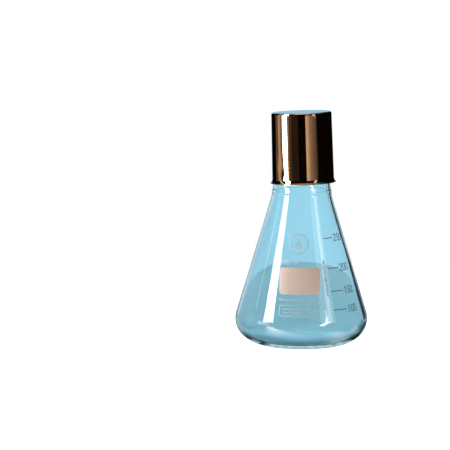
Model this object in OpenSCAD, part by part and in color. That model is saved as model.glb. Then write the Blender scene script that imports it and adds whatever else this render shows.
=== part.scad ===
// Conical culture flask with a straight neck, a slip-on metal cap and enamel prints.
// The origin is the centre of the base. The flask stands on z = 0 and its prints face -Y.

/* [Flask] */
// Largest outside diameter, at the heel
flask_d = 85; // [80:0.5:90]
// Height from the bench to the rim
flask_h = 145; // [140:1:155]
// Outside diameter of the straight neck
neck_d = 36.4; // [35:0.1:36.6]
// Wall thickness of the neck and the cone
wall = 1.8; // [1.4:0.1:2.2]
// Angle of the cone's side from the vertical, in degrees
cone_angle = 16.8; // [16:0.1:17.6]
// Radius of the hollow curve between cone and neck
shoulder_r = 55; // [40:1:60]

/* [Heel and base] */
// Radius of the rounded side just below the cone
heel_side_r = 14.5; // [13:0.5:16]
// Height of that curve's centre above the bench
heel_centre_z = 15.9; // [15:0.1:17]
// Angle below the horizontal at which the side curve meets the flatter under-curve
heel_split = 48; // [40:1:52]
// Thickness of the glass over the ring that the flask stands on
base_t = 2.8; // [2:0.1:3.5]
// Width of the flat ring that the flask stands on
stand_ring_w = 3; // [2:0.5:4]
// Rise of the hollow under the base
punt_h = 1.2; // [0.5:0.1:2]

/* [Neck bead] */
// Height of the bead above the bench
bead_z = 98.2; // [96:0.2:100]
// How far the bead stands proud of the glass around it
bead_proud = 0.35; // [0.2:0.05:0.5]
// Radius of the bead's own round section
bead_r = 0.9; // [0.7:0.1:1]

/* [Cap] */
// Height of the cap
cap_h = 45.2; // [44:0.2:47]
// Outside diameter at the top of the skirt
cap_top_d = 38.5; // [38.4:0.1:39.5]
// Outside diameter at the bottom of the skirt, above the flare
cap_skirt_d = 39.5; // [39.4:0.1:40.5]
// Thickness of the sheet metal
cap_t = 0.35; // [0.3:0.05:0.4]
// Outside radius of the top edge
cap_edge_r = 1.2; // [0.8:0.1:2]
// Radius of the flare at the lower edge
flare_r = 4; // [3:0.5:5]
// Angle that the flare turns outward
flare_turn = 40; // [30:1:45]
// Radius of the hem on the flare's end
hem_r = 0.4; // [0.3:0.05:0.5]
// Height of the cap's lower edge above the bench
cap_z = 103.6; // [103:0.2:104]
// Angle that the cap leans towards -X, because it fits the neck loosely
cap_lean = 1.9; // [0:0.1:1.9]
// Height at which the leaning cap's axis crosses the neck's axis
lean_z = 132; // [131:0.5:133]

/* [Cap insert] */
// Thickness of the insert's sheet
insert_t = 0.4; // [0.3:0.05:0.5]
// Number of arms
arm_count = 4; // [3:1:6]
// Width of one arm
arm_w = 8; // [6:0.5:9]
// Radius of the middle disc that is fixed to the cap
hub_r = 9; // [7:0.5:10]
// Outside radius of the feet that stand on the rim
foot_r = 17.7; // [17.4:0.1:17.8]
// Height of the feet's underside above the cap's lower edge
foot_z = 42.2; // [42.1:0.1:42.6]
// Largest radius of the tongues inside the mouth
tongue_r = 15.8; // [15.2:0.1:15.8]
// Length of the tongues below the feet
tongue_l = 11; // [6:0.5:14]

/* [Prints] */
// Thickness of the enamel
enamel_t = 0.12; // [0.08:0.01:0.2]
// Direction that the block of prints faces, in degrees round from -Y towards +X
print_azimuth = -4.2; // [-20:0.1:10]
// Width of the writing field
field_w = 25.4; // [20:0.2:28]
// Lower edge of the writing field above the bench
field_z = 36.6; // [36:0.2:38]
// Height of the writing field
field_h = 16.3; // [12:0.1:17]
// Corner radius of the writing field
field_corner = 2.4; // [1:0.1:4]
// Width of the thin printed lines
line_w = 0.45; // [0.3:0.05:0.6]
// Height of the graduation numerals
numeral_h = 4.6; // [3.5:0.1:5]
// Azimuth at which the graduation lines start, in degrees round from -Y
tick_start = 28.3; // [26:0.1:32]
// Angle that a graduation line spans
tick_span = 15.3; // [10:0.1:16]

/* [Hidden] */
$fn = 96;

// Flask outline: centres and tangent points of its arcs
flask_r = flask_d / 2;
neck_r = neck_d / 2;
side_c = [flask_r - heel_side_r, heel_centre_z];
cone_foot = side_c + heel_side_r * [cos(cone_angle), sin(cone_angle)];
// Height at which the cone's straight side would cross the neck's
corner_z = cone_foot[1] + (cone_foot[0] - neck_r) / tan(cone_angle);
neck_foot_z = corner_z + shoulder_r * tan(cone_angle / 2);
shoulder_c = [neck_r + shoulder_r, neck_foot_z];
rim_r = wall / 2;
arc_steps = 16;

// Height of the four graduations: the liquid levels at 100, 150, 200 and 250 ml
levels = [26.6, 38.0, 52.0, 70.4];

// Points along an arc about c, both ends included
function arc(c, r, from, to, steps = arc_steps) =
    [for (i = [0 : steps]) c + r * [cos(from + (to - from) * i / steps), sin(from + (to - from) * i / steps)]];

// Radius of the under-curve that joins a side curve of radius r_side tangentially to the floor at z_floor
function under_r(r_side, z_floor) =
    (heel_centre_z - z_floor - r_side * sin(heel_split)) / (1 - sin(heel_split));

// Centre of that under-curve
function under_c(r_side, z_floor) =
    side_c + (r_side - under_r(r_side, z_floor)) * [cos(heel_split), -sin(heel_split)];

// The flask's side from the floor up to the rim, a distance d inside the outer surface
function flask_side(d, z_floor) = concat(
    arc(under_c(heel_side_r - d, z_floor), under_r(heel_side_r - d, z_floor), -90, -heel_split),
    arc(side_c, heel_side_r - d, -heel_split, cone_angle),
    arc(shoulder_c, shoulder_r + d, 180 + cone_angle, 180),
    [[neck_r - d, flask_h - rim_r]]);

// A shallow dome from the axis, at z_mid, out to radius r, at z_edge
function dome(r, z_mid, z_edge) = [for (i = [0 : arc_steps])
    let (x = r * i / arc_steps) [x, z_mid + (z_edge - z_mid) * pow(x / r, 2)]];

function reversed(list) = [for (i = [len(list) - 1 : -1 : 0]) list[i]];

// Radius of the cone's outer surface at height z
function cone_r(z) = cone_foot[0] - (z - cone_foot[1]) * tan(cone_angle);

stand_r = under_c(heel_side_r, 0)[0];
floor_r = under_c(heel_side_r - wall, base_t)[0];

module flask_glass() {
    inside_mid_z = punt_h + base_t - 0.6;
    bead_c = [neck_r + shoulder_r - sqrt(pow(shoulder_r, 2) - pow(neck_foot_z - bead_z, 2))
        + bead_proud - bead_r, bead_z];
    color([0.62, 0.83, 0.9, 0.4])
    rotate_extrude() union() {
        polygon(concat(
            dome(stand_r - stand_ring_w, punt_h, 0),
            flask_side(0, 0),
            reversed(flask_side(wall, base_t)),
            reversed(dome(floor_r, inside_mid_z, base_t))));
        translate([neck_r - rim_r, flask_h - rim_r]) circle(r = rim_r);
        translate(bead_c) circle(r = bead_r);
    }
}

// The cap's flare turns about a centre outside the skirt, and its end sits in the middle of the hem
flare_mid_r = flare_r + cap_t / 2;
flare_c = [cap_skirt_d / 2 + flare_r, hem_r + flare_mid_r * sin(flare_turn)];
hem_c = flare_c - flare_mid_r * [cos(flare_turn), sin(flare_turn)];
// Half the angle of the hem's circle that the sheet takes up, and the turn of the flare that lies inside it
hem_open = asin(cap_t / 2 / hem_r);
hem_turn = asin(hem_r * cos(hem_open) / flare_mid_r);

// The cap's outline from its top centre to its hem, a distance d inside the outer surface
function cap_side(d) = concat(
    [[0, cap_h - d]],
    arc([cap_top_d / 2 - cap_edge_r, cap_h - cap_edge_r], cap_edge_r - d, 90, 0),
    arc(flare_c, flare_r + d, 180, 180 + flare_turn - hem_turn));

// Stands the cap's pieces on the neck, leaning about the point where the two axes cross
module on_neck() {
    translate([0, 0, lean_z]) rotate([0, -cap_lean, 0]) translate([0, 0, cap_z - lean_z]) children();
}

module cap_shell() {
    color([0.42, 0.27, 0.18])
    on_neck() rotate_extrude() polygon(concat(
        cap_side(0),
        arc(hem_c, hem_r, 90 + flare_turn - hem_open, flare_turn + hem_open - 270),
        reversed(cap_side(cap_t))));
}

// A strip of constant height t above a line of points, as a closed outline
function strip(points, t) = concat(points, reversed([for (p = points) p + [0, t]]));

module cap_insert() {
    hub_z = cap_h - cap_t - insert_t;
    bend_r = 12;
    step_r = 14.4;
    tip_r = tongue_r - 1.2;
    tongue_mid_z = foot_z - tongue_l / 2;
    color([0.75, 0.75, 0.77])
    on_neck() intersection() {
        rotate_extrude() union() {
            polygon(strip([[0, hub_z], [bend_r, hub_z], [step_r, foot_z], [foot_r, foot_z]], insert_t));
            polygon([[step_r, foot_z], [tongue_r - insert_t, tongue_mid_z], [tip_r, foot_z - tongue_l],
                [tip_r + insert_t, foot_z - tongue_l], [tongue_r, tongue_mid_z],
                [step_r + insert_t, foot_z + insert_t / 2]]);
        }
        union() {
            cylinder(r = hub_r, h = cap_h);
            for (i = [0 : arm_count - 1]) rotate(45 + 360 * i / arm_count)
                translate([0, -arm_w / 2, 0]) cube([foot_r + 1, arm_w, cap_h]);
        }
    }
}

// The skin of enamel that covers the whole cone, just clear of the glass
module enamel_skin() {
    gap = 0.02 / cos(cone_angle);
    skin = enamel_t / cos(cone_angle);
    z_low = cone_foot[1] + 1;
    z_high = corner_z - shoulder_r * tan(cone_angle / 2);
    rotate_extrude() polygon([
        [cone_r(z_low) + gap, z_low],
        [cone_r(z_low) + gap + skin, z_low],
        [cone_r(z_high) + gap + skin, z_high],
        [cone_r(z_high) + gap, z_high]]);
}

// Wraps a flat drawing round the cone: its X runs round the cone, its Y up, and it is centred at an azimuth
module printed(azimuth) {
    intersection() {
        enamel_skin();
        rotate(azimuth) rotate([90, 0, 0]) linear_extrude(height = flask_d) children();
    }
}

// Drawing elements
module rounded_box(w, h, r) {
    square([w - 2 * r, h], center = true);
    square([w, h - 2 * r], center = true);
    for (x = [-1, 1], y = [-1, 1]) translate([x * (w / 2 - r), y * (h / 2 - r)]) circle(r = r);
}

module rounded_outline(w, h, r, t) {
    difference() {
        rounded_box(w, h, r);
        rounded_box(w - 2 * t, h - 2 * t, r - t);
    }
}

// A straight stroke with round ends from a to b
module stroke(a, b, t) {
    length = norm(b - a);
    translate(a) rotate(atan2(b[1] - a[1], b[0] - a[0])) {
        translate([0, -t / 2]) square([length, t]);
        circle(d = t);
        translate([length, 0]) circle(d = t);
    }
}

// A bent stroke with round ends about c, from one angle to another
module bow(c, r, from, to, t) {
    translate(c) {
        polygon(concat(arc([0, 0], r + t / 2, from, to), reversed(arc([0, 0], r - t / 2, from, to))));
        for (a = [from, to]) translate(r * [cos(a), sin(a)]) circle(d = t);
    }
}

// Numerals of height h and stroke t, standing on y = 0 and centred on x = 0
module digit(n, h, t) {
    w = 0.56 * h - t;
    r = w / 2;
    low = t / 2;
    high = h - t / 2;
    if (n == 0) {
        bow([0, high - r], r, 0, 180, t);
        bow([0, low + r], r, 180, 360, t);
        for (x = [-r, r]) stroke([x, low + r], [x, high - r], t);
    }
    if (n == 1) {
        stroke([0, low], [0, high], t);
        stroke([0, high], [-0.6 * r, high - 0.6 * r], t);
    }
    if (n == 2) {
        bow([0, high - r], r, -25, 170, t);
        stroke([0, high - r] + r * [cos(25), -sin(25)], [-r, low], t);
        stroke([-r, low], [r, low], t);
    }
    if (n == 5) {
        bow([0, low + r], r, -150, 130, t);
        stroke([-r * 0.64, low + 1.77 * r], [-r * 0.64, high], t);
        stroke([-r * 0.64, high], [r * 0.8, high], t);
    }
}

module letter_m(h, t) {
    r = 0.2 * h;
    for (x = [-2 * r, 0, 2 * r]) stroke([x, t / 2], [x, h - r - t / 2], t);
    for (x = [-r, r]) bow([x, h - r - t / 2], r, 0, 180, t);
}

module writing_field() {
    color([0.93, 0.87, 0.8])
    printed(print_azimuth) translate([0, field_z + field_h / 2]) rounded_box(field_w, field_h, field_corner);
}

// A ring with a drop in it, which stands for no maker
module emblem() {
    ring_r = 6.2;
    ring_t = 0.7;
    drop_r = 2;
    drop_top = 2.9;
    centre = [-0.9, 67.4];
    color([0.9, 0.9, 0.9])
    printed(print_azimuth) translate(centre) {
        difference() {
            circle(r = ring_r);
            circle(r = ring_r - ring_t);
        }
        // The drop's round foot runs on into its two straight sides
        polygon(concat(arc([0, -1], drop_r, 146, 394), [[0, drop_top]]));
    }
}

module capacity_mark() {
    text_h = 3;
    text_t = 0.4;
    pitch = 2.2;
    start = -11.4;
    color([0.9, 0.9, 0.9])
    printed(print_azimuth) translate([start, field_z + field_h + 1.7]) {
        for (i = [0 : 2]) translate([pitch * i, 0]) digit([2, 5, 0][i], text_h, text_t);
        translate([pitch * 3.9, 0]) letter_m(text_h * 0.72, text_t);
        translate([pitch * 4.75, 0]) stroke([0, text_t / 2], [0, text_h - text_t / 2], text_t);
    }
}

// A row of plain dashes along X, centred on y = 0; lengths are shares of the row's width
module dashes(w, t, lengths, gap) {
    total = sum(lengths) + gap * (len(lengths) - 1);
    for (i = [0 : len(lengths) - 1]) {
        from = (sum([for (j = [0 : 1 : i - 1]) lengths[j]]) + gap * i) / total;
        translate([-w / 2 + w * from, -t / 2]) square([w * lengths[i] / total, t]);
    }
}

function sum(list) = len(list) == 0 ? 0 : list * [for (x = list) 1];

module info_line() {
    color([0.9, 0.9, 0.9])
    printed(print_azimuth) translate([0, field_z - 3.3]) dashes(field_w, 0.9, [3, 2, 5, 4, 2, 3, 4], 0.8);
}

info_frame_h = 6.8;
info_frame_z = field_z - 6.4 - info_frame_h;

module info_frame() {
    color([0.9, 0.9, 0.9])
    printed(print_azimuth) translate([0, info_frame_z + info_frame_h / 2])
        rounded_outline(field_w, info_frame_h, 1.5, line_w);
}

module info_bars() {
    color([0.9, 0.9, 0.9])
    printed(print_azimuth) for (row = [0, 1])
        translate([0, info_frame_z + info_frame_h * (0.66 - 0.32 * row)])
            dashes(field_w - 5, 0.7, row == 0 ? [4, 3, 5, 2] : [2, 5, 3], 0.8);
}

module side_mark() {
    azimuth = 24;
    length = 22;
    color([0.9, 0.9, 0.9])
    printed(azimuth) translate([0, 46]) rotate(90) dashes(length, 1.3, [2, 3, 2, 4, 3, 2, 3], 0.7);
}

// One graduation line
module tick(level) {
    color([0.45, 0.48, 0.5])
    intersection() {
        enamel_skin();
        rotate(tick_start - 90) translate([0, 0, level - line_w / 2])
            rotate_extrude(angle = tick_span) square([flask_r, line_w]);
    }
}

// The number beside a graduation line: each numeral faces its own way round the cone
module numeral(digits, level) {
    pitch = numeral_h * 0.68;
    radius = cone_r(level);
    step = pitch / radius * 180 / PI;
    color([0.45, 0.48, 0.5])
    for (i = [0 : len(digits) - 1])
        printed(tick_start + tick_span + step * (i + 0.75))
            translate([0, level - numeral_h / 2]) digit(digits[i], numeral_h, line_w);
}

flask_glass();
cap_shell();
cap_insert();
writing_field();
emblem();
capacity_mark();
info_line();
info_frame();
info_bars();
side_mark();
tick(levels[0]);  // tick_100
tick(levels[1]);  // tick_150
tick(levels[2]);  // tick_200
tick(levels[3]);  // tick_250
numeral([1, 0, 0], levels[0]);  // numeral_100
numeral([1, 5, 0], levels[1]);  // numeral_150
numeral([2, 0, 0], levels[2]);  // numeral_200
numeral([2, 5, 0], levels[3]);  // numeral_250
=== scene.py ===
"""Studio scene for the culture flask with its metal cap.

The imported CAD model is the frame. The glass and the cap are rebuilt here as finely divided
turned meshes, so that they refract and mirror cleanly. The insert and the enamel prints stay
as the CAD made them and get procedural materials. Lengths are in metres.
"""

import math

import bpy
from mathutils import Matrix, Vector, noise


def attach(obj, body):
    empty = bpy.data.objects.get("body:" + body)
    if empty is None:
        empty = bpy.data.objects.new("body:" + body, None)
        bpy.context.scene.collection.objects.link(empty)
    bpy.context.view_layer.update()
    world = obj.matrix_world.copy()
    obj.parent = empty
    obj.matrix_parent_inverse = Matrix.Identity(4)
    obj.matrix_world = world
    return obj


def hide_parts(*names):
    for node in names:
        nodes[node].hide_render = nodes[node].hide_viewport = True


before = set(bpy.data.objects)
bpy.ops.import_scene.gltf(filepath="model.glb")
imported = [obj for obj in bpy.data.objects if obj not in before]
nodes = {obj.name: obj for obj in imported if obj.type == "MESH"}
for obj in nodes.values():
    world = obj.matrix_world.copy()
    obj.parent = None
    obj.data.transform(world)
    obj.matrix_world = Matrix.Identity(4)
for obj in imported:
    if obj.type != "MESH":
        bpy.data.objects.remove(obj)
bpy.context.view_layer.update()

MM = 0.001

# --------------------------------------------------------------------------------------
# Flask outline, as in the part's source, in millimetres
FLASK_R = 42.5
FLASK_H = 145.0
NECK_R = 18.2
WALL = 1.8
CONE = math.radians(16.8)
SHOULDER_R = 55.0
SIDE_R = 14.5
HEEL_Z = 15.9
SPLIT = math.radians(48)
BASE_T = 2.8
STAND_RING_W = 3.0
PUNT_H = 1.2
BEAD_Z = 98.2
BEAD_PROUD = 0.35
BEAD_R = 0.9
BEAD_FOOT = 2.2
SIDE_C = (FLASK_R - SIDE_R, HEEL_Z)
CONE_FOOT = (SIDE_C[0] + SIDE_R * math.cos(CONE), SIDE_C[1] + SIDE_R * math.sin(CONE))
CORNER_Z = CONE_FOOT[1] + (CONE_FOOT[0] - NECK_R) / math.tan(CONE)
NECK_FOOT_Z = CORNER_Z + SHOULDER_R * math.tan(CONE / 2)
SHOULDER_C = (NECK_R + SHOULDER_R, NECK_FOOT_Z)
RIM_R = WALL / 2
# How finely the glass is divided: sides round the axis, and steps along the outline
GLASS_SIDES = 160
GLASS_STEP = 3.0
BEAD_STEP = 0.12
RIM_STEP = math.radians(12)
# How far the inner wall wanders, broadly and finely
WANDER = 0.11
FINE_WANDER = 0.035

# Cap outline, in millimetres above its own lower edge
CAP_H = 45.2
CAP_TOP_R = 19.25
CAP_SKIRT_R = 19.75
CAP_T = 0.35
CAP_EDGE_R = 1.2
FLARE_R = 4.0
FLARE_TURN = math.radians(40)
HEM_R = 0.4
CAP_Z = 103.6
CAP_LEAN = math.radians(1.9)
LEAN_Z = 132.0
CAP_SIDES = 200
CAP_STEP = 1.5
HEM_STEP = math.radians(12)
# Waviness of the drawn sheet, and the height at the hem and the top that has no dents
WAVINESS = 0.012
UNDENTED = 2.0


def arc(centre, radius, start, stop, step=math.radians(2.5)):
    """Points along an arc from one angle to another, both ends included."""
    count = max(2, math.ceil(abs(stop - start) / step))
    return [
        (
            centre[0] + radius * math.cos(start + (stop - start) * i / count),
            centre[1] + radius * math.sin(start + (stop - start) * i / count),
        )
        for i in range(count + 1)
    ]


def divided(points, longest):
    """The same outline with its long straight runs cut into shorter ones."""
    out = [points[0]]
    for a, b in zip(points, points[1:]):
        length = math.dist(a, b)
        if length < 1e-4:
            continue
        count = max(1, math.ceil(length / longest))
        out += [
            (a[0] + (b[0] - a[0]) * i / count, a[1] + (b[1] - a[1]) * i / count)
            for i in range(1, count + 1)
        ]
    return out


def turned(name, outline, sides, shift=None):
    """A closed mesh of revolution about Z. The outline runs from the axis back to the axis, in
    millimetres; shift(x, y, z) may move a point a little."""
    verts, rings = [], []
    for r, z in outline:
        if r < 1e-6:
            rings.append([len(verts)])
            verts.append((0.0, 0.0, z))
            continue
        rings.append(list(range(len(verts), len(verts) + sides)))
        for i in range(sides):
            a = 2 * math.pi * i / sides
            verts.append((r * math.cos(a), r * math.sin(a), z))
    faces = []
    for low, high in zip(rings, rings[1:]):
        for i in range(sides):
            j = (i + 1) % sides
            if len(low) == 1:
                faces.append((low[0], high[j], high[i]))
            elif len(high) == 1:
                faces.append((low[i], low[j], high[0]))
            else:
                faces.append((low[i], low[j], high[j], high[i]))
    if shift:
        verts = [shift(*v) for v in verts]
    mesh = bpy.data.meshes.new(name)
    mesh.from_pydata([Vector(v) * MM for v in verts], [], faces)
    mesh.validate()
    mesh.polygons.foreach_set("use_smooth", [True] * len(mesh.polygons))
    mesh.update()
    obj = bpy.data.objects.new(name, mesh)
    bpy.context.scene.collection.objects.link(obj)
    return obj


# --------------------------------------------------------------------------------------
# Glass


def under_curve(side_radius, floor_z):
    """Centre and radius of the flatter curve that joins the side curve to the floor."""
    radius = (HEEL_Z - floor_z - side_radius * math.sin(SPLIT)) / (1 - math.sin(SPLIT))
    centre = (
        SIDE_C[0] + (side_radius - radius) * math.cos(SPLIT),
        SIDE_C[1] - (side_radius - radius) * math.sin(SPLIT),
    )
    return centre, radius


def flask_side(inset, floor_z):
    """The side from the floor to the rim, a distance inset inside the outer surface."""
    centre, radius = under_curve(SIDE_R - inset, floor_z)
    return (
        arc(centre, radius, -math.pi / 2, -SPLIT)
        + arc(SIDE_C, SIDE_R - inset, -SPLIT, CONE)
        + arc(SHOULDER_C, SHOULDER_R + inset, math.pi + CONE, math.pi, math.radians(1))
        + [(NECK_R - inset, FLASK_H - RIM_R)]
    )


def dome(radius, z_mid, z_edge, steps=10):
    """A shallow dome from the axis out to the radius."""
    shares = [i / steps for i in range(steps + 1)]
    return [(radius * share, z_mid + (z_edge - z_mid) * share**2) for share in shares]


def with_bead(points):
    """Raises the fire-polished bead on the outer outline, with a soft foot on both sides."""
    out = []
    for (r, z), (r2, z2) in zip(points, points[1:]):
        out.append((r, z))
        if z < BEAD_Z + BEAD_FOOT and z2 > BEAD_Z - BEAD_FOOT and z2 > z:
            count = max(1, math.ceil((z2 - z) / BEAD_STEP))
            for i in range(1, count):
                out.append((r + (r2 - r) * i / count, z + (z2 - z) * i / count))
    out.append(points[-1])
    swelling = BEAD_R * 1.25
    return [
        (r + BEAD_PROUD * math.exp(-(((z - BEAD_Z) / swelling) ** 2) * 1.6), z)
        for r, z in out
    ]


def glass_outline():
    """Up the outside from the middle of the punt, over the rim and down the inside."""
    punt = dome(under_curve(SIDE_R, 0)[0][0] - STAND_RING_W, PUNT_H, 0)
    base = dome(under_curve(SIDE_R - WALL, BASE_T)[0][0], PUNT_H + BASE_T - 0.6, BASE_T)
    outer = divided(punt + flask_side(0, 0), GLASS_STEP)
    inner = divided(base + flask_side(WALL, BASE_T), GLASS_STEP)
    rim = arc((NECK_R - RIM_R, FLASK_H - RIM_R), RIM_R, 0, math.pi, RIM_STEP)
    return with_bead(outer) + rim[1:-1] + inner[::-1]


def blown(x, y, z):
    """Lets the inner wall of the body wander by up to about a tenth of a millimetre, as in
    moulded glass. The foot, the rim and the outer wall stay true."""
    radius = math.hypot(x, y)
    above_base = z - BASE_T
    below_rim = FLASK_H - 3 - z
    if radius < 1e-6 or above_base < 0.5 or below_rim < 0 or radius > glass_inside(z) + 0.6:
        return x, y, z
    share = min(1.0, above_base / 12) * min(1.0, below_rim / 10)
    drift = noise.noise(Vector((x / 16, y / 16, z / 34 + 3.7))) * WANDER
    drift += noise.noise(Vector((x / 7 + 9, y / 7, z / 26))) * FINE_WANDER
    k = 1 + drift * share / radius
    return x * k, y * k, z


def glass_inside(z):
    """Radius of the inner wall at a height, read off its outline."""
    for (r1, z1), (r2, z2) in zip(INSIDE, INSIDE[1:]):
        if z1 <= z <= z2 and z2 > z1:
            return r1 + (r2 - r1) * (z - z1) / (z2 - z1)
    return NECK_R - WALL


INSIDE = flask_side(WALL, BASE_T)
glass = turned("glass_body", glass_outline(), GLASS_SIDES, blown)

# --------------------------------------------------------------------------------------
# Cap


def cap_side(inset, flare_c, flare_end):
    """The cap's outline from its top centre to its hem, a distance inset inside."""
    edge_c = (CAP_TOP_R - CAP_EDGE_R, CAP_H - CAP_EDGE_R)
    return (
        [(0.0, CAP_H - inset)]
        + arc(edge_c, CAP_EDGE_R - inset, math.pi / 2, 0, math.radians(7.5))
        + arc(flare_c, FLARE_R + inset, math.pi, math.pi + flare_end)
    )


def cap_outline():
    """Down the outside from the middle of the top, round the hem and up the inside."""
    mid_r = FLARE_R + CAP_T / 2
    flare_c = (CAP_SKIRT_R + FLARE_R, HEM_R + mid_r * math.sin(FLARE_TURN))
    hem_c = (
        flare_c[0] - mid_r * math.cos(FLARE_TURN),
        flare_c[1] - mid_r * math.sin(FLARE_TURN),
    )
    hem_open = math.asin(CAP_T / 2 / HEM_R)
    flare_end = FLARE_TURN - math.asin(HEM_R * math.cos(hem_open) / mid_r)
    hem = arc(
        hem_c,
        HEM_R,
        math.pi / 2 + FLARE_TURN - hem_open,
        FLARE_TURN + hem_open - 1.5 * math.pi,
        HEM_STEP,
    )
    outer = divided(cap_side(0, flare_c, flare_end), CAP_STEP)
    inner = divided(cap_side(CAP_T, flare_c, flare_end), CAP_STEP)
    return outer + hem + inner[::-1]


# Dents in the skirt: azimuth from -Y in degrees, height, half width, half height, depth in mm
DENTS = (
    (-50.0, 12.0, 7.0, 6.0, 0.16),
    (-42.0, 7.0, 4.5, 3.5, 0.10),
    (-60.0, 20.0, 6.0, 4.5, 0.05),
    (24.0, 15.0, 8.0, 9.0, 0.05),
    (47.0, 24.0, 3.0, 5.0, 0.05),
)


def dented(x, y, z):
    """Small handling dents, and the slight waviness of drawn sheet."""
    radius = math.hypot(x, y)
    above_hem = z - UNDENTED
    below_top = CAP_H - UNDENTED - z
    if radius < 17.5 or above_hem < 0 or below_top < 0:
        return x, y, z
    azimuth = math.degrees(math.atan2(x, -y))
    depth = noise.noise(Vector((x / 9, y / 9, z / 40 + 5))) * WAVINESS
    for at, height, half_w, half_h, deep in DENTS:
        across = (azimuth - at) / half_w
        along = (z - height) / half_h
        depth += deep * math.exp(-(across * across + along * along))
    fade = min(1.0, above_hem / 3) * min(1.0, below_top / 3)
    k = 1 - depth * fade / radius
    return x * k, y * k, z


cap = turned("cap_metal", cap_outline(), CAP_SIDES, dented)
on_neck = (
    Matrix.Translation((0, 0, LEAN_Z * MM))
    @ Matrix.Rotation(-CAP_LEAN, 4, "Y")
    @ Matrix.Translation((0, 0, (CAP_Z - LEAN_Z) * MM))
)
cap.data.transform(on_neck)

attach(glass, "flask")
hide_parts("flask_glass")
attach(cap, "cap")
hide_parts("cap_shell")

# --------------------------------------------------------------------------------------
# Materials


class Tree:
    """Short calls for building a node tree."""

    def __init__(self, owner):
        owner.use_nodes = True
        self.tree = owner.node_tree
        self.tree.nodes.clear()

    def node(self, kind, settings=None, **inputs):
        made = self.tree.nodes.new(kind)
        for key, value in (settings or {}).items():
            setattr(made, key, value)
        for key, value in inputs.items():
            self.put(made, key.replace("_", " "), value)
        return made

    def put(self, made, key, value):
        by_number = key[0] == "i" and key[1:].isdigit()
        socket = made.inputs[int(key[1:]) if by_number else key]
        if isinstance(value, bpy.types.NodeSocket):
            self.tree.links.new(value, socket)
        else:
            socket.default_value = value

    def math(self, operation, a, b=0.0, c=0.0, clamp=False):
        made = self.node(
            "ShaderNodeMath", {"operation": operation, "use_clamp": clamp}, i0=a, i1=b, i2=c
        )
        return made.outputs[0]

    def rise(self, value, start, end):
        """0 up to the start and 1 from the end on, straight in between."""
        gain = 1.0 / (end - start)
        return self.math("MULTIPLY_ADD", value, gain, -start * gain, clamp=True)

    def times(self, first, *others):
        for other in others:
            first = self.math("MULTIPLY", first, other)
        return first

    def ramp(self, value, stops):
        made = self.node("ShaderNodeValToRGB", i0=value)
        ramp = made.color_ramp
        while len(ramp.elements) < len(stops):
            ramp.elements.new(0.5)
        for element, (place, colour) in zip(ramp.elements, stops):
            element.position = place
            element.color = (*colour, 1.0)
        return made.outputs[0]

    def noise(self, vector, scale, detail=2.0, roughness=0.5):
        made = self.node(
            "ShaderNodeTexNoise",
            Vector=vector,
            Scale=scale,
            Detail=detail,
            Roughness=roughness,
        )
        return made.outputs["Fac"]

    def mix(self, factor, a, b, blend="MIX"):
        settings = {"data_type": "RGBA", "blend_type": blend}
        return self.node("ShaderNodeMix", settings, i0=factor, i6=a, i7=b).outputs[2]

    def distance(self, spot, centre=(0.0, 0.0, 0.0)):
        made = self.node("ShaderNodeVectorMath", {"operation": "DISTANCE"}, i0=spot, i1=centre)
        return made.outputs["Value"]

    def mapping(self, vector, scale):
        return self.node("ShaderNodeMapping", Vector=vector, Scale=scale).outputs[0]


def new_material(name):
    material = bpy.data.materials.new(name)
    return material, Tree(material)


def assign(material, *objects):
    for obj in objects:
        obj.data.materials.clear()
        obj.data.materials.append(material)
        for polygon in obj.data.polygons:
            polygon.material_index = 0


def glass_material():
    material, t = new_material("borosilicate_glass")
    place = t.node("ShaderNodeTexCoord").outputs["Object"]
    # Faint streaks down the wall, as moulding leaves them
    streaks = t.noise(t.mapping(place, (60, 60, 9)), 1.0, 3.0)
    # Painted colour: the light blue stands in for a blue backdrop seen through the glass; the
    # streaks vary it at random.
    painted_backdrop_tint = t.ramp(
        streaks, ((0.3, (0.565, 0.845, 0.95)), (0.7, (0.61, 0.875, 0.97)))
    )
    bump = t.node(
        "ShaderNodeBump",
        Strength=0.06,
        Distance=0.0006,
        Height=t.noise(t.mapping(place, (45, 45, 14)), 1.0, 2.0),
    )
    shader = t.node(
        "ShaderNodeBsdfPrincipled",
        Base_Color=painted_backdrop_tint,
        Roughness=0.0,
        IOR=1.47,
        Transmission_Weight=1.0,
        Normal=bump.outputs[0],
    )
    clear = t.node("ShaderNodeBsdfTransparent", Color=(0.78, 0.93, 0.98, 1.0))
    shadow = t.node("ShaderNodeLightPath").outputs["Is Shadow Ray"]
    both = t.node("ShaderNodeMixShader", i0=shadow, i1=shader.outputs[0], i2=clear.outputs[0])
    t.node("ShaderNodeOutputMaterial", Surface=both.outputs[0])
    return material


def cap_material():
    material, t = new_material("bronzed_sheet_metal")
    place = t.node("ShaderNodeTexCoord").outputs["Object"]
    # Cloudy tarnish, and the fine lines of the polishing wheel that run round the cap
    cloud = t.noise(t.mapping(place, (70, 70, 40)), 1.0, 4.0, 0.6)
    lines = t.noise(t.mapping(place, (40, 40, 5200)), 1.0, 2.0)
    colour = t.ramp(cloud, ((0.3, (0.80, 0.50, 0.31)), (0.7, (0.90, 0.59, 0.38))))
    rough = t.math("MULTIPLY_ADD", cloud, 0.03, 0.03)
    bump = t.node("ShaderNodeBump", Strength=0.025, Distance=0.0001, Height=lines)
    shader = t.node(
        "ShaderNodeBsdfPrincipled",
        Base_Color=colour,
        Metallic=1.0,
        Roughness=rough,
        Normal=bump.outputs[0],
    )
    t.node("ShaderNodeOutputMaterial", Surface=shader.outputs[0])
    return material


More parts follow.
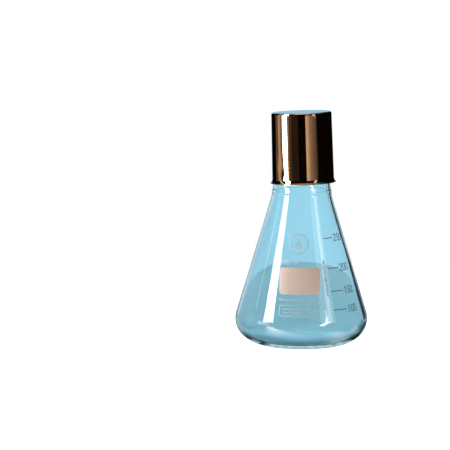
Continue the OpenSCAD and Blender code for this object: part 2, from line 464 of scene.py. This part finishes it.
def insert_material():
    material, t = new_material("stainless_sheet")
    place = t.node("ShaderNodeTexCoord").outputs["Object"]
    grain = t.noise(t.mapping(place, (90, 2600, 90)), 1.0, 2.0)
    colour = t.ramp(grain, ((0.25, (0.48, 0.48, 0.50)), (0.75, (0.64, 0.64, 0.65))))
    rough = t.math("MULTIPLY_ADD", grain, 0.2, 0.2)
    bump = t.node("ShaderNodeBump", Strength=0.1, Distance=0.0001, Height=grain)
    shader = t.node(
        "ShaderNodeBsdfPrincipled",
        Base_Color=colour,
        Metallic=1.0,
        Roughness=rough,
        Normal=bump.outputs[0],
    )
    t.node("ShaderNodeOutputMaterial", Surface=shader.outputs[0])
    return material


def enamel_material(name, pale, deep):
    """Fired enamel: fine grains and a few thin spots in the colour, with a satin skin."""
    material, t = new_material(name)
    place = t.node("ShaderNodeTexCoord").outputs["Object"]
    cloud = t.noise(t.mapping(place, (120, 120, 120)), 1.0, 3.0)
    grains = t.noise(t.mapping(place, (4200, 4200, 4200)), 1.0, 2.0)
    colour = t.mix(cloud, (*deep, 1.0), (*pale, 1.0))
    speckle = t.ramp(grains, ((0.30, (0.86, 0.86, 0.86)), (0.46, (1.0, 1.0, 1.0))))
    speckled = t.mix(1.0, colour, speckle, "MULTIPLY")
    rough = t.math("MULTIPLY_ADD", grains, 0.25, 0.3)
    bump = t.node("ShaderNodeBump", Strength=0.25, Distance=0.00005, Height=grains)
    shader = t.node(
        "ShaderNodeBsdfPrincipled",
        Base_Color=speckled,
        Roughness=rough,
        Normal=bump.outputs[0],
    )
    t.node("ShaderNodeOutputMaterial", Surface=shader.outputs[0])
    return material


assign(glass_material(), glass)
assign(cap_material(), cap)
assign(insert_material(), nodes["cap_insert"])
assign(
    enamel_material("cream_enamel", (0.70, 0.54, 0.447), (0.62, 0.465, 0.38)),
    nodes["writing_field"],
)
assign(
    enamel_material("pale_enamel", (0.48, 0.63, 0.69), (0.41, 0.56, 0.62)),
    nodes["emblem"],
    nodes["capacity_mark"],
    nodes["side_mark"],
)
assign(
    enamel_material("tan_enamel", (0.47, 0.57, 0.57), (0.40, 0.50, 0.51)),
    nodes["info_line"],
    nodes["info_frame"],
    nodes["info_bars"],
)
GREY = [n for n in sorted(nodes) if n.startswith(("tick_", "numeral_"))]
assign(
    enamel_material("grey_enamel", (0.13, 0.15, 0.17), (0.07, 0.08, 0.10)),
    *[nodes[n] for n in GREY],
)

# --------------------------------------------------------------------------------------
# Studio

# The floor ends a little behind the flask, so its far edge shows through the glass
FLOOR_HALF = 1.6
FLOOR_BACK = 0.37
FLOOR_DROP = 0.0002
# A dark panel behind the flask, to its right, which gives the glass its dark right edge. No
# panel object
# stands there: it is a dark wedge of the world, and painted shade on the floor, both seen only
# through the glass.
# Azimuth from +Y towards +X, half width, and the width of its soft border
PANEL_AT = math.radians(30)
PANEL_HALF = math.radians(9)
PANEL_SOFT = math.radians(4)
# Colours that the floor and the world share
# On the floor both are painted: the unlit room as a painted reflection, the dark panel as
# painted shade.
UNLIT_ROOM = (0.002, 0.0012, 0.0008, 1.0)
DARK_PANEL = (0.012, 0.014, 0.016, 1.0)


def panel(t, x, y):
    """1 towards the dark panel and 0 elsewhere, for a direction or a place x, y."""
    off = t.math("ABSOLUTE", t.math("SUBTRACT", t.math("ARCTAN2", x, y), PANEL_AT))
    return t.rise(off, PANEL_HALF + PANEL_SOFT / 2, PANEL_HALF - PANEL_SOFT / 2)


def mirrored_floor(t, spot, x, y, reach, near):
    """Painted reflections, which the floor emits to mirrors: pale on the flask's left, dark on
    its right and close to its foot, with a painted streak of light that runs in from the left
    and a painted gleam at the right."""
    # Painted reflection: pale floor on the left, dim on the right and close to the foot.
    pale, dim = (0.24, 0.31, 0.33, 1.0), (0.012, 0.02, 0.022, 1.0)
    beside = t.mix(t.rise(x, -0.02, 0.05), pale, dim)
    beside = t.mix(t.rise(reach, 0.075, 0.050), beside, dim)
    sheen = t.mix(near, UNLIT_ROOM, beside)
    # Distance from the line that the streak follows
    across = t.math("MULTIPLY_ADD", y, 0.886, t.math("MULTIPLY_ADD", x, -0.463, 0.033))
    # Painted pool of light: a bright streak on the floor, emitted for reflections only.
    streak = t.times(
        t.rise(t.math("ABSOLUTE", across), 0.020, 0.004),
        t.rise(reach, 0.045, 0.085),
        t.rise(y, 0.0, -0.03),
    )
    # Painted gleam: a bright spot on the floor at the right, emitted for reflections only.
    gleam = t.rise(t.distance(spot, (0.034, -0.040, 0.0)), 0.020, 0.0)
    sheen = t.mix(streak, sheen, (12.0, 10.4, 9.0, 1.0))
    return t.mix(gleam, sheen, (4.0, 3.8, 3.6, 1.0))


def refracted_floor(t, x, y, reach, near):
    """Painted shade, for what the glass shows of the floor: a floor tone that is darker near
    the flask, a painted shadow in front under the foot, the painted dark panel further out and
    a painted dark patch beside the foot on the right."""
    # Painted shade: the floor reads darker close to the flask.
    lit = t.mix(near, (0.66, 0.65, 0.64, 1.0), (0.58, 0.60, 0.60, 1.0))
    # Painted shadow on the floor in front, under the foot.
    painted_contact_shadow = t.times(
        t.rise(reach, 0.006, 0.024), t.rise(reach, 0.056, 0.044), t.rise(y, 0.012, -0.004)
    )
    shade = t.mix(painted_contact_shadow, lit, (0.06, 0.06, 0.05, 1.0))
    # Painted shade: a dark patch on the floor beside the foot on the right.
    painted_corner_shade = t.times(
        t.rise(t.math("MULTIPLY_ADD", y, -0.3, x), 0.031, 0.036),
        t.rise(x, 0.085, 0.07),
        t.rise(y, 0.085, 0.07),
        t.rise(y, -0.035, -0.025),
    )
    beside_flask = t.math("SUBTRACT", x, FLASK_R * MM)
    # Painted dark panel on the floor, further out to the right.
    behind = t.times(panel(t, beside_flask, y), t.rise(reach, 0.12, 0.145))
    return t.mix(t.math("MAXIMUM", behind, painted_corner_shade), shade, DARK_PANEL)


def floor_material():
    """White to the camera; to mirrors and glass it emits painted reflections and painted
    shade.
    """
    material, t = new_material("white_floor")
    path = t.node("ShaderNodeLightPath").outputs
    spot = t.node("ShaderNodeTexCoord").outputs["Object"]
    x, y, _ = t.node("ShaderNodeSeparateXYZ", Vector=spot).outputs
    reach = t.distance(spot)
    near = t.rise(reach, 0.30, 0.13)
    matt = t.node("ShaderNodeBsdfDiffuse", Color=(0.85, 0.85, 0.86, 1.0))
    glow = t.node("ShaderNodeEmission", Color=(1.0, 1.0, 1.0, 1.0), Strength=0.72)
    seen = t.node("ShaderNodeAddShader", i0=matt.outputs[0], i1=glow.outputs[0])
    # Mirrors see painted reflections and glass sees painted shade, both emitted by the floor.
    for ray, colour in (
        ("Is Glossy Ray", mirrored_floor(t, spot, x, y, reach, near)),
        ("Is Transmission Ray", refracted_floor(t, x, y, reach, near)),
    ):
        light = t.node("ShaderNodeEmission", Color=colour)
        seen = t.node(
            "ShaderNodeMixShader", i0=path[ray], i1=seen.outputs[0], i2=light.outputs[0]
        )
    t.node("ShaderNodeOutputMaterial", Surface=seen.outputs[0])
    return material


def floor_sheet():
    xs = (-FLOOR_HALF, FLOOR_HALF)
    ys = (-FLOOR_HALF, FLOOR_BACK)
    corners = [(xs[0], ys[0], 0), (xs[1], ys[0], 0), (xs[1], ys[1], 0), (xs[0], ys[1], 0)]
    mesh = bpy.data.meshes.new("studio_floor")
    mesh.from_pydata(corners, [], [(0, 1, 2, 3)])
    obj = bpy.data.objects.new("studio_floor", mesh)
    bpy.context.scene.collection.objects.link(obj)
    obj.location.z = -FLOOR_DROP
    assign(floor_material(), obj)


def studio_world():
    """White to the camera. Mirrors see a dark room with a pale blue backdrop and a grey
    ceiling; glass shows a white room with the dark panel."""
    world = bpy.data.worlds.new("studio")
    bpy.context.scene.world = world
    t = Tree(world)
    path = t.node("ShaderNodeLightPath").outputs
    way = t.node("ShaderNodeTexCoord").outputs["Generated"]
    x, y, z = t.node("ShaderNodeSeparateXYZ", Vector=way).outputs
    azimuth = t.math("ARCTAN2", x, y)
    # The backdrop reaches from 17 degrees left of +Y to 14 degrees right of it, soft-edged
    soft, left_end, right_end = 1 / 9, math.radians(-17), math.radians(14)
    backdrop = t.times(
        t.rise(azimuth, left_end, left_end + soft),
        t.rise(azimuth, right_end, right_end - soft),
        t.rise(z, 0.8, 0.6),
    )
    room = t.mix(backdrop, UNLIT_ROOM, (0.33, 0.62, 0.85, 1.0))
    room = t.mix(t.rise(z, 0.65, 0.9), room, (0.30, 0.31, 0.33, 1.0))
    beyond = t.mix(panel(t, x, y), (0.95, 0.96, 0.97, 1.0), DARK_PANEL)
    colour = (0.36, 0.37, 0.38, 1.0)
    for ray, seen in (
        ("Is Glossy Ray", room),
        ("Is Transmission Ray", beyond),
        ("Is Camera Ray", (1.0, 1.0, 1.0, 1.0)),
    ):
        colour = t.mix(path[ray], colour, seen)
    shade = t.node("ShaderNodeBackground", Color=colour, Strength=1.0)
    t.node("ShaderNodeOutputWorld", Surface=shade.outputs[0])


LIGHT_DISTANCE = 0.62
WHITE, WARM = (1.0, 0.98, 0.95), (1.0, 0.82, 0.64)
# The heights that the upright side of the cap mirrors
CAP_BAND = (-0.02, 0.16)


def softbox(name, azimuths, heights, radiance, colour, serves="mirrors", roll=0.0, only=None):
    """A soft light between two azimuths, in degrees round from -Y towards +X, and two heights,
    facing the flask's axis. serves says which surfaces it lights: mirrors, matt or all; only
    names the one piece that it lights. roll turns it about the way it faces, in degrees."""
    middle = math.radians(sum(azimuths) / 2)
    width = 2 * LIGHT_DISTANCE * math.tan(math.radians(azimuths[1] - azimuths[0]) / 2)
    height = heights[1] - heights[0]
    light = bpy.data.lights.new(name, "AREA")
    light.shape = "RECTANGLE"
    light.size, light.size_y = width, height
    light.color = colour
    light.energy = radiance * math.pi * width * height
    obj = bpy.data.objects.new(name, light)
    bpy.context.scene.collection.objects.link(obj)
    out = Vector((math.sin(middle), -math.cos(middle), 0))
    obj.location = out * LIGHT_DISTANCE + Vector((0, 0, sum(heights) / 2))
    turn = (-out).to_track_quat("-Z", "Y").to_matrix()
    turn = turn @ Matrix.Rotation(math.radians(roll), 3, "Z")
    obj.rotation_mode = "QUATERNION"
    obj.rotation_quaternion = turn.to_quaternion()
    obj.visible_camera = False
    obj.visible_transmission = False
    obj.visible_diffuse = serves != "mirrors"
    obj.visible_glossy = serves != "matt"
    if only:
        served = bpy.data.collections.new(name + "_serves")
        served.objects.link(only)
        obj.light_linking.receiver_collection = served
    return obj


def left_lights():
    """The box that draws the white streak down the cap and the glass, its matt fill, and the
    dim surroundings of the box as the cap mirrors them."""
    softbox("left_box_low", (-81, -60), (-0.02, 0.14), 5.0, WHITE)
    softbox("left_box_high", (-73, -54), (0.14, 0.60), 26.0, WHITE, roll=8.0)
    softbox("left_fill", (-90, -50), (0.05, 0.60), 3.1, WHITE, "matt")
    softbox("side_tall", (-95, -91), (0.17, 0.60), 2.0, WHITE)
    for first, last, radiance in (
        (-118, -103, 0.12),
        (-103, -93, 0.50),
        (-93, -86, 0.25),
        (-60, -52, 0.26),
        (-52, -42, 0.055),
        (-42, -16, 0.018),
    ):
        softbox(f"left_room_{-last}", (first, last), CAP_BAND, radiance, WARM)


def right_lights():
    """Warm strips that draw the cap's copper stripe, bright on its left and fading to its
    right, and the tall lights behind the glass's soft right-hand streak."""
    start, step = 12, 6
    for k, radiance in enumerate((0.66, 0.52, 0.30, 0.23, 0.17, 0.13, 0.08)):
        first = start + step * k
        softbox(f"right_box_{k}", (first, first + step), CAP_BAND, radiance, WARM)
    softbox("right_glint", (40, 50), (0.14, 0.70), 0.9, WHITE, only=cap)
    softbox("right_tall", (32, 60), (0.14, 0.70), 2.0, WHITE, only=glass)
    softbox("right_tall_core", (46, 54), (0.17, 0.70), 4.4, WHITE, only=glass)
    softbox("right_low", (34, 43), (0.00, 0.26), 15.0, WHITE, roll=-42.0, only=glass)


def overhead_light():
    obj = softbox("overhead", (-15, 15), (0.60, 0.90), 1.2, WHITE, "all")
    obj.location = (0, 0, 0.75)
    obj.rotation_quaternion = Vector((0, 0, -1)).to_track_quat("-Z", "Y")


floor_sheet()
studio_world()
left_lights()
right_lights()
overhead_light()

# --------------------------------------------------------------------------------------
# Camera

# The photographed view: a little above the flask and a little to its left, far off
CAMERA_AT = (-0.04915, -1.150, 0.21484)
CAMERA_DOWN = math.radians(6.88)
CAMERA_LENS = 144.34

camera_data = bpy.data.cameras.new("camera")
camera_data.sensor_width = 36.0
camera_data.lens = CAMERA_LENS
camera_data.clip_start = 0.05
camera_data.clip_end = 50.0
camera = bpy.data.objects.new("camera", camera_data)
camera.location = CAMERA_AT
camera.rotation_euler = (math.pi / 2 - CAMERA_DOWN, 0.0, 0.0)
scene = bpy.context.scene
scene.collection.objects.link(camera)
scene.camera = camera
scene.view_settings.view_transform = "Standard"
scene.view_settings.look = "None"
# Thick glass needs many turns of the light inside it
scene.cycles.max_bounces = 32
scene.cycles.glossy_bounces = 24
scene.cycles.transmission_bounces = 32

bpy.context.view_layer.update()
